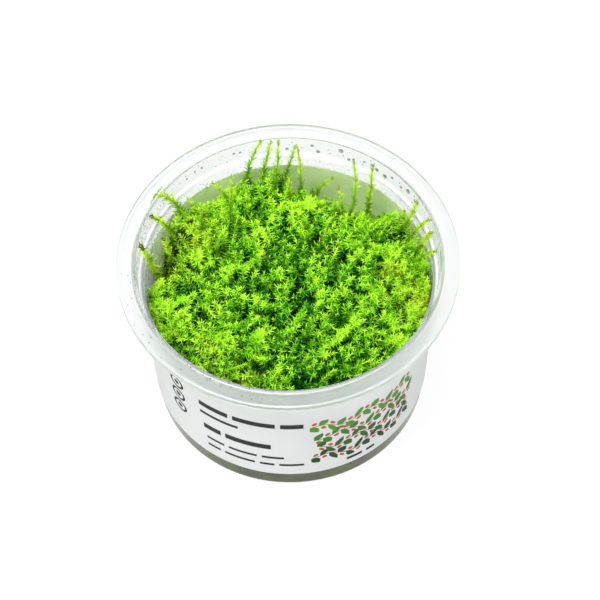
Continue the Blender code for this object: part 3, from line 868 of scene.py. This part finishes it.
# Shoots that lie on the mat and show their feathered side: foot and tip in millimetres
LYING_SHOOTS = (
    ((-31.2, -18.7, 43.3), (-31.2, -6.2, 44.8)),
    ((5.3, -11.2, 46.3), (13.3, -19.7, 46.0)),
    ((21.5, -2.8, 45.5), (22.5, -9.5, 45.9)),
    ((25.8, -10.4, 44.7), (26.4, -18.0, 44.6)),
    ((26.4, 1.4, 44.7), (29.1, -6.0, 44.8)),
    ((6.1, -32.7, 44.1), (10.7, -29.3, 45.1)),
    ((10.3, 0.7, 46.5), (12.8, 6.4, 46.8)),
    ((-26.0, -21.4, 44.0), (-21.7, -27.7, 44.4)),
    ((-17.4, -27.8, 44.3), (-11.3, -27.0, 45.6)),
    ((-7.5, -32.8, 44.1), (-2.8, -29.1, 45.6)),
    ((13.5, -28.9, 44.3), (20.4, -26.3, 44.5)),
    ((23.8, -24.2, 43.6), (28.4, -19.2, 44.0)),
    ((29.4, -14.2, 43.7), (33.9, -8.9, 43.3)),
    ((-21.6, -15.7, 45.3), (-15.8, -21.8, 45.9)),
    ((-23.9, -5.4, 45.5), (-19.3, -12.9, 46.4)),
    ((-13.8, -22.7, 45.4), (-7.3, -25.7, 46.0)),
)
feet = np.array([foot for foot, _ in LYING_SHOOTS]) * mm
tips = np.array([tip for _, tip in LYING_SHOOTS]) * mm
# Each is bedded in at its foot, arched, and lifted at its tip
feet[:, 2] -= 0.4 * mm
tips[:, 2] += 0.8 * mm
arched = 0.5 * (feet + tips) + np.array([0.0, 0.0, 1.0 * mm])
lying = {"foot": feet, "knee": arched, "tip": tips, "size": np.full(len(feet), 1.0),
         "tone": patch_tone(tips[:, :2]) * 0.4, "age_and_shade": np.full(len(feet), -0.5)}


MIDDLE_RADIUS = 16.5 * mm


def moss_area(places):
    """Which of the five areas a shoot grows in: 0 for the middle, then 1 to 4 round the edge."""
    quarter = np.floor((np.degrees(np.arctan2(places[:, 1], places[:, 0])) % 360.0) / 90.0).astype(int)
    return np.where(np.hypot(places[:, 0], places[:, 1]) < MIDDLE_RADIUS, 0, 1 + quarter)


MOTTLE_SIZE = 4.0 * mm


def moss_surface(material_name, deep, shaded, fresh, bright, old):
    """Living moss leaf, one cell thick: it lets light through, is brightest at young tips, and yellows.

    Its greens darken down the shoots and in the lower storey, partly with age and partly as painted shade.
    """
    material, tree = new_material(material_name)
    tone, age_and_shade, tip = (add_node(tree, "ShaderNodeAttribute", attribute_name=name).outputs["Fac"]
                      for name in ("tone", "age_and_shade", "tip"))
    place = add_node(tree, "ShaderNodeTexCoord").outputs["Object"]
    mottle = add_node(tree, "ShaderNodeTexNoise", {"Vector": place, "Scale": 1.0 / MOTTLE_SIZE,
                                                   "Detail": 3.0})
    shift = add_node(tree, "ShaderNodeMapRange", {"Value": mottle, "From Min": 0.3, "From Max": 0.7,
                                                  "To Min": -0.10, "To Max": 0.14})
    worn_and_shaded = add_node(tree, "ShaderNodeMath", {0: age_and_shade, 1: shift}, operation="ADD")
    # Greens from bright to deep as leaves sit older and lower: partly age, partly painted shade
    leaf = add_node(tree, "ShaderNodeValToRGB", {"Fac": worn_and_shaded},
                    stops=[(0.0, bright), (0.82, deep), (0.25, fresh), (0.50, shaded)])
    youth = add_node(tree, "ShaderNodeMapRange", {"Value": worn_and_shaded, "From Min": 0.0, "From Max": 0.55,
                                                  "To Min": 0.50, "To Max": 0.0})
    lighter = add_node(tree, "ShaderNodeMath", {0: tip, 1: youth}, operation="MULTIPLY")
    leaf = add_node(tree, "ShaderNodeMix", {0: lighter, 6: leaf, 7: colour(bright)},
                    data_type="RGBA").outputs[2]
    leaf = add_node(tree, "ShaderNodeMix", {0: tone, 6: leaf, 7: colour(old)}, data_type="RGBA").outputs[2]
    surface = add_node(tree, "ShaderNodeBsdfPrincipled", {
        "Base Color": leaf,
        "Roughness": 0.38,
        "Specular IOR Level": 0.12,
    })
    glow = add_node(tree, "ShaderNodeBsdfTranslucent", {"Color": leaf})
    blend = add_node(tree, "ShaderNodeMixShader", {"Fac": 0.26, 1: surface, 2: glow})
    add_node(tree, "ShaderNodeOutputMaterial", {"Surface": blend})
    return material


moss_leaf = moss_surface("living_feather_moss_leaf", deep="#032208", shaded="#227A08",
                         fresh="#76D018", bright="#BEF038", old="#BAB430")

# Each storey's leaves per shoot, bare share of its stem, leaf length and width in millimetres, opening angles
# at its foot and tip in degrees, and stem radius in millimetres
STOREYS = (
    (upper, 38, 0.22, 1.75, 0.28, (72.0, 24.0), 0.10),
    (rim, 42, 0.05, 1.55, 0.30, (64.0, 22.0), 0.11),
    (lower, 20, 0.20, 1.70, 0.32, (74.0, 28.0), 0.11),
    (lying, 40, 0.02, 1.85, 0.34, (64.0, 26.0), 0.14),
)
AREA_NAMES = ("middle", "rear_right", "rear_left", "front_left", "front_right")
for area, area_name in enumerate(AREA_NAMES):
    parts = []
    for shoots, leaves, bare_share, length, width, open_angles, stem_radius in STOREYS:
        mask = moss_area(shoots["tip"]) == area
        if mask.any():
            here = {key: value[mask] for key, value in shoots.items()}
            parts.append(leafy_blocks(here, leaves, bare_share, length * mm, width * mm, open_angles,
                                      stem_radius * mm))
    add_piece(joined_mesh(f"moss_shoots_{area_name}", parts), moss_leaf, ["moss_cushion"])

# The dark mat below
# The lower, older growth that the shoots stand on, pressed together into a dark mass from the gel up to some
# millimetres below the tips. It is one closed lump, heaved into small hummocks.

MAT_DEPTH = 5.0 * mm
MAT_RADIUS = WALL_TOP_RADIUS - 2.0 * GAP
HUMMOCK_SIZE = 2.2 * mm
HUMMOCK_RISE = 1.0 * mm
# The ball that it is shaped from is its top down to 90 degrees from the pole, its side to here, then its base
SIDE_POLAR = 118.0
form = bmesh.new()
bmesh.ops.create_icosphere(form, subdivisions=6, radius=1.0)
directions = np.array([vertex.co.normalized()[:] for vertex in form.verts])
polar = np.degrees(np.arccos(np.clip(directions[:, 2], -1.0, 1.0)))
bearing = np.arctan2(directions[:, 1], directions[:, 0])
base = GEL_TOP + GAP
radius = MAT_RADIUS * np.where(polar <= 90.0, polar / 90.0, (180.0 - polar) / (180.0 - SIDE_POLAR))
radius = np.minimum(radius, MAT_RADIUS)
x = radius * np.cos(bearing)
y = radius * np.sin(bearing)
hummock = [noise.fractal(Vector((a, b, 0.0)) / HUMMOCK_SIZE, 0.6, 2.0, 3) for a, b in zip(x, y)]
top = cushion_height(x, y) - MAT_DEPTH + np.array(hummock) * HUMMOCK_RISE * (polar <= 90.0)
side = top + (base - top) * (polar - 90.0) / (SIDE_POLAR - 90.0)
height = np.where(polar <= 90.0, top, np.maximum(side, base))
radius = np.minimum(radius, inner_wall_radius(height) - GAP)
for vertex, reach, turn, level in zip(form.verts, radius, bearing, height):
    vertex.co = (reach * math.cos(turn), reach * math.sin(turn), level)
bmesh.ops.recalc_face_normals(form, faces=form.faces[:])
mat_mesh = bpy.data.meshes.new("dark_moss_mat")
form.to_mesh(mat_mesh)
form.free()
mat_mesh.shade_smooth()

# Old, shaded moss: very dark green with slightly paler threads, matt and tangled.
THREAD_SIZE = 0.9 * mm
old_moss, tree = new_material("shaded_old_moss")
place = add_node(tree, "ShaderNodeTexCoord").outputs["Object"]
threads = add_node(tree, "ShaderNodeTexNoise", {"Vector": place, "Scale": 1.0 / THREAD_SIZE, "Detail": 4.0,
                                                "Distortion": 1.4})
thread_colour = add_node(tree, "ShaderNodeValToRGB", {"Fac": threads},
                         stops=[(0.35, "#041C05"), (0.75, "#2C6410"), (0.55, "#0C3A08")])
thread_bump = add_node(tree, "ShaderNodeBump", {"Height": threads, "Strength": 0.8, "Distance": 0.6 * mm})
tangle = add_node(tree, "ShaderNodeBsdfPrincipled", {
    "Base Color": thread_colour,
    "Roughness": 0.7,
    "Specular IOR Level": 0.1,
    "Normal": thread_bump,
})
add_node(tree, "ShaderNodeOutputMaterial", {"Surface": tangle})
add_piece(mat_mesh, old_moss, ["moss_cushion"])

# The taller shoots
# Single long shoots at the rim of the cushion, some with a side branch. Their leaves lie closer to the stem
# than in the mat, and are yellow-green, with brown nodes and a dark bud at the tip.

# Foot on the cushion, elbow and tip in millimetres, and half the leafy width
TALL_SHOOTS = {
    "back_shoot_1": ((-10.5, 34.0), (-9.0, 35.3, 48.8), (-6.0, 37.0, 55.0), 0.6),
    "back_shoot_2": ((-6.5, 34.5), (-4.5, 36.2, 50.3), (-3.5, 37.6, 54.0), 0.6),
    "back_shoot_3": ((-3.0, 30.5), (-2.0, 33.0, 50.0), (-1.5, 36.0, 56.0), 0.7),
    "back_shoot_4": ((-0.5, 34.5), (1.5, 35.8, 47.5), (3.0, 37.7, 51.5), 0.6),
    "back_shoot_5": ((3.5, 29.5), (4.0, 32.0, 50.5), (3.5, 34.5, 54.5), 0.5),
    "back_shoot_6": ((1.0, 27.0), (1.0, 28.5, 46.5), (1.0, 30.0, 48.5), 0.5),
    "back_shoot_7": ((-15.0, 20.0), (-14.5, 22.5, 51.0), (-14.0, 25.0, 56.5), 0.5),
    "back_shoot_8": ((-15.5, 28.0), (-17.5, 29.2, 44.5), (-19.5, 30.2, 46.0), 0.5),
    "back_shoot_9": ((-22.0, 21.0), (-24.0, 22.5, 46.5), (-26.0, 24.0, 48.0), 0.6),
    "back_shoot_10": ((-22.4, 17.0), (-22.6, 18.8, 47.0), (-22.8, 20.5, 49.6), 0.6),
    "left_shoot_1": ((-28.0, 21.5), (-30.4, 21.0, 52.1), (-35.3, 19.7, 56.5), 1.2),
    "left_shoot_2": ((-29.5, 17.5), (-32.3, 16.2, 47.8), (-35.2, 15.0, 52.8), 0.8),
    "left_shoot_3": ((-34.0, 9.5), (-35.7, 6.2, 44.5), (-37.6, 4.6, 54.5), 0.9),
    "left_shoot_4": ((-31.0, 12.5), (-31.8, 12.5, 43.0), (-32.5, 12.5, 46.0), 0.5),
    "right_shoot_1": ((16.5, 23.0), (18.5, 26.0, 50.0), (18.0, 29.5, 55.5), 0.6),
    "right_shoot_2": ((21.5, 27.8), (22.7, 28.1, 45.6), (23.2, 30.1, 52.1), 0.6),
    "right_shoot_3": ((14.5, 23.5), (14.5, 24.7, 46.5), (14.0, 26.2, 48.0), 0.5),
    "right_shoot_4": ((8.0, 33.5), (10.5, 33.3, 40.2), (13.0, 33.0, 43.0), 0.5),
    "right_shoot_5": ((30.3, 16.3), (33.3, 16.2, 50.3), (34.1, 16.8, 53.0), 0.7),
    "right_shoot_6": ((29.0, 19.0), (30.6, 18.6, 44.5), (31.0, 18.4, 47.0), 0.5),
    "right_shoot_7": ((32.0, 14.3), (35.2, 11.7, 50.0), (37.0, 10.4, 54.0), 0.4),
    "right_shoot_8": ((33.4, 9.2), (36.4, 7.9, 50.0), (37.1, 7.1, 53.0), 0.6),
    "right_shoot_9": ((34.0, 6.0), (36.4, 3.8, 48.2), (38.1, 2.0, 51.7), 0.6),
}


def through_elbow(foot, elbow, tip):
    """The middle handle of a bent stem that passes through its elbow."""
    lower_span = np.linalg.norm(elbow - foot)
    knee = lower_span / (lower_span + np.linalg.norm(tip - elbow))
    return (elbow - foot * (1.0 - knee) ** 2 - tip * knee ** 2) / (2.0 * knee * (1.0 - knee))


tall_leaf = moss_surface("young_tall_shoot_leaf", deep="#568C14", shaded="#7AB21E",
                         fresh="#A0D228", bright="#CAEA42", old="#2E2A0A")

# Side branches: the shoot, where the branch leaves it and its tip in millimetres, and half its leafy width
SIDE_BRANCHES = (
    ("left_shoot_1", (-34.4, 20.3, 56.0), (-34.4, 22.7, 56.1), 0.5),
    ("left_shoot_1", (-34.4, 20.3, 56.0), (-36.1, 17.9, 55.7), 0.6),
    ("left_shoot_2", (-33.6, 15.7, 50.2), (-32.7, 15.0, 51.8), 0.5),
)
LEAF_GAP = 0.17 * mm
FEWEST_LEAVES = 6
TALL_LEAF_WIDTH = 0.50 * mm
TALL_OPEN_ANGLES = (42.0, 34.0)
TALL_STEM_RADIUS = 0.22 * mm
STEM_SWAY = 0.16 * mm
FOOT_DEPTH = 2.2
# How dark the nodes and buds are, and how far the age and painted shade are shifted towards young and pale,
# for the shoots of each side
SIDE_LOOKS = {"back": (0.40, -0.20), "left": (0.90, -0.45), "right": (0.60, -0.30)}


def tall_shoot(foot, elbow, tip, half_width, bud, age_and_shade):
    """One leafy stem through three points in millimetres, as blocks to join."""
    foot, elbow, tip = (np.array(point) * mm for point in (foot, elbow, tip))
    stem_length = np.linalg.norm(elbow - foot) + np.linalg.norm(tip - elbow)
    leaves = max(int(stem_length / LEAF_GAP), FEWEST_LEAVES)
    leaf_length = (0.78 + half_width * 1.6) * mm
    shoot = {"foot": foot[None], "knee": through_elbow(foot, elbow, tip)[None], "tip": tip[None],
             "size": np.array([1.0]), "tone": np.array([0.03]), "age_and_shade": np.array([age_and_shade]),
             "sway": np.array([STEM_SWAY])}
    return leafy_blocks(shoot, leaves, 0.0, leaf_length, TALL_LEAF_WIDTH, TALL_OPEN_ANGLES, TALL_STEM_RADIUS,
                        bud=bud)


for node, ((foot_x, foot_y), elbow, tip, half_width) in TALL_SHOOTS.items():
    foot_z = float(cushion_height(np.array([foot_x * mm]), np.array([foot_y * mm]))[0]) / mm - FOOT_DEPTH
    bud, age_and_shade = SIDE_LOOKS[node.split("_")[0]]
    parts = [tall_shoot((foot_x, foot_y, foot_z), elbow, tip, half_width, bud, age_and_shade)]
    for parent, start, end, branch_width in SIDE_BRANCHES:
        if parent == node:
            middle = 0.5 * (np.array(start) + np.array(end))
            parts.append(tall_shoot(start, middle, end, branch_width, bud, age_and_shade))
    add_piece(joined_mesh(f"leafy_{node}", parts), tall_leaf, [node])

# The condensation
# Beads of water that rose from the gel and settled on the cup: a few large ones on the collar at the rear,
# many fine ones over the bare wall at the left and round the collar, and fine drops on the flange.

# Large beads: bearing in degrees, height and radius in millimetres
LARGE_BEADS = (
    (89.0, 48.9, 0.50), (79.0, 50.7, 0.50), (76.6, 48.7, 0.60), (67.2, 51.0, 0.75), (63.8, 48.6, 0.55),
    (57.0, 50.2, 0.45), (51.1, 49.7, 0.65), (47.1, 49.3, 0.70), (43.5, 50.6, 0.45), (38.4, 49.9, 0.50),
    (34.2, 51.0, 0.75), (29.5, 50.3, 0.55), (124.6, 50.6, 0.45), (110.4, 50.5, 0.40), (107.8, 50.2, 0.40),
    (132.2, 50.2, 0.35), (128.0, 50.7, 0.35),
)
# Fields of fine beads: how many, from and to which bearing, lowest and highest, smallest and largest radius
FINE_BEADS = (
    (150, 15.0, 180.0, 48.2, 52.4, 0.08, 0.24),
    (60, 30.0, 150.0, 42.8, 47.0, 0.08, 0.20),
    (130, 150.0, 186.0, 33.0, 52.0, 0.08, 0.22),
    (190, 186.0, 375.0, 48.2, 52.6, 0.08, 0.18),
    (60, 192.0, 348.0, 52.0, 52.9, 0.12, 0.28),
)
# Drops on the flange at its front left: how many, from and to which bearing, how far out the nearest one lies
# and how much farther the others may, how strongly they crowd towards the mouth, and how small the smallest
# one is and how much larger the others may be
FLANGE_BEADS = 110
FLANGE_BEARINGS = (183.0, 262.0)
FLANGE_NEAREST = 39.3
FLANGE_SPREAD = 4.0
FLANGE_CROWDING = 2.2
FLANGE_SMALLEST = 0.09
FLANGE_GROWTH = 0.20
BEAD_BULGE = 0.55
form = bmesh.new()
bmesh.ops.create_uvsphere(form, u_segments=8, v_segments=5, radius=1.0)
BEAD = read_template(form)


def directions_at(bearing):
    """The directions outward and upward at some bearings in degrees."""
    bearing = np.radians(bearing)
    outward = np.column_stack([np.cos(bearing), np.sin(bearing), np.zeros(len(bearing))])
    return outward, np.broadcast_to([0.0, 0.0, 1.0], outward.shape)


def bead_points(centre, size, bulging, upright):
    """The points of round beads of some radii in millimetres, each flattened the way that it bulges."""
    dome, _, _ = BEAD
    sideways = np.cross(upright, bulging)
    return centre[:, None, :] + size[:, None, None] * mm * (
        dome[None, :, 0:1] * sideways[:, None, :] + dome[None, :, 1:2] * upright[:, None, :]
        + dome[None, :, 2:3] * BEAD_BULGE * bulging[:, None, :])


beads = [np.array(LARGE_BEADS)]
for count, start, end, lowest, highest, smallest, largest in FINE_BEADS:
    size = smallest + (largest - smallest) * chance.uniform(0.0, 1.0, count) ** 2.0
    bearing = chance.uniform(start, end, count)
    level = chance.uniform(lowest, highest, count)
    beads.append(np.column_stack([bearing, level, size]))
bearing, level, size = np.concatenate(beads).T
level = level * mm
outward, upward = directions_at(bearing)
wall_centre = outward * inner_wall_radius(level)[:, None] + upward * level[:, None]
wall_beads = bead_points(wall_centre, size, -outward, upward)

bearing = chance.uniform(*FLANGE_BEARINGS, FLANGE_BEADS)
reach = (FLANGE_NEAREST + FLANGE_SPREAD * chance.uniform(0.0, 1.0, FLANGE_BEADS) ** FLANGE_CROWDING) * mm
size = FLANGE_SMALLEST + FLANGE_GROWTH * chance.uniform(0.0, 1.0, FLANGE_BEADS) ** 2.0
outward, upward = directions_at(bearing)
flange_beads = bead_points(outward * reach[:, None] + upward * CUP_HEIGHT, size, upward, outward)

# Water: clear and smooth, tinted slightly grey-green so that each bead shows as a fleck against the wall.
bead_water, tree = new_material("condensed_water")
water = add_node(tree, "ShaderNodeBsdfPrincipled", {
    "Base Color": colour("#AEBCA8"),
    "Transmission Weight": 1.0,
    "IOR": 1.33,
    "Roughness": 0.02,
})
add_node(tree, "ShaderNodeOutputMaterial", {"Surface": water})
bead_mesh = mesh_of("condensation_beads", *repeat_template(BEAD, np.concatenate([wall_beads, flange_beads])))
add_piece(bead_mesh, bead_water, [])

# The floor, the light and the camera
# A plain white surface that glows like a light table, under soft, nearly shadowless light, seen from the
# photograph's place.

FLOOR_REACH = 3.0
FLOOR_GLOW = 0.91
ROOM_LIGHT = 0.78
form = bmesh.new()
bmesh.ops.create_grid(form, x_segments=1, y_segments=1, size=FLOOR_REACH)
floor_mesh = bpy.data.meshes.new("white_floor")
form.to_mesh(floor_mesh)
form.free()
floor = bpy.data.objects.new("white_floor", floor_mesh)
bpy.context.scene.collection.objects.link(floor)
# Opal acrylic lit from below: evenly white, and matt, so that it takes hardly any shadow.
lit_opal, tree = new_material("lit_opal_acrylic")
opal = add_node(tree, "ShaderNodeBsdfPrincipled", {
    "Base Color": colour("#404040"),
    "Roughness": 0.9,
    "Emission Color": colour("#FFFFFF"),
    "Emission Strength": FLOOR_GLOW,
})
add_node(tree, "ShaderNodeOutputMaterial", {"Surface": opal})
floor_mesh.materials.append(lit_opal)

world = bpy.data.worlds.new("soft_white_room")
world.use_nodes = True
world.node_tree.nodes["Background"].inputs["Color"].default_value = colour("#FFFFFF")
world.node_tree.nodes["Background"].inputs["Strength"].default_value = ROOM_LIGHT
bpy.context.scene.world = world

# Large lamps: place in metres, edge in metres, power in watts
LAMPS = (
    ("key_lamp", (-0.35, -0.20, 0.95), 0.4, 15.0),
    ("front_lamp", (0.0, -0.75, 0.28), 0.6, 2.6),
    ("fill_lamp", (0.60, -0.10, 0.80), 0.8, 5.0),
)
for name, spot, edge, power in LAMPS:
    lamp_data = bpy.data.lights.new(name, "AREA")
    lamp_data.size = edge
    lamp_data.energy = power
    lamp = bpy.data.objects.new(name, lamp_data)
    aimed = Vector(spot).to_track_quat("Z", "Y").to_matrix().to_4x4()
    lamp.matrix_world = Matrix.Translation(spot) @ aimed
    bpy.context.scene.collection.objects.link(lamp)

# The camera, fitted to the cup's rim, collar and foot: the lens and its picture's width in millimetres, and
# how far its aim lies from the middle of the cup's mouth
CAMERA_LENS = 123.8
SENSOR_WIDTH = 36.0
CAMERA_ELEVATION = math.radians(55.44)
CAMERA_DISTANCE = 0.528
CAMERA_ROLL = math.radians(1.765)
AIM_RIGHT = 3.11 * mm
AIM_DOWN = 10.41 * mm
mouth_centre = Vector((0.0, 0.0, CUP_HEIGHT))
backward = Vector((0.0, -math.cos(CAMERA_ELEVATION), math.sin(CAMERA_ELEVATION)))
level_right = Vector((1.0, 0.0, 0.0))
level_up = backward.cross(level_right)
image_right = level_right * math.cos(CAMERA_ROLL) - level_up * math.sin(CAMERA_ROLL)
image_up = level_right * math.sin(CAMERA_ROLL) + level_up * math.cos(CAMERA_ROLL)
eye = mouth_centre + backward * CAMERA_DISTANCE
aim = mouth_centre + image_right * AIM_RIGHT - image_up * AIM_DOWN
camera_back = (eye - aim).normalized()
camera_right = image_up.cross(camera_back).normalized()
camera_up = camera_back.cross(camera_right)
camera_data = bpy.data.cameras.new("photo_camera")
camera_data.lens = CAMERA_LENS
camera_data.sensor_width = SENSOR_WIDTH
camera = bpy.data.objects.new("photo_camera", camera_data)
turned_to = Matrix((camera_right, camera_up, camera_back)).transposed().to_4x4()
camera.matrix_world = Matrix.Translation(eye) @ turned_to
bpy.context.scene.collection.objects.link(camera)
bpy.context.scene.camera = camera
bpy.context.scene.view_settings.view_transform = "Standard"
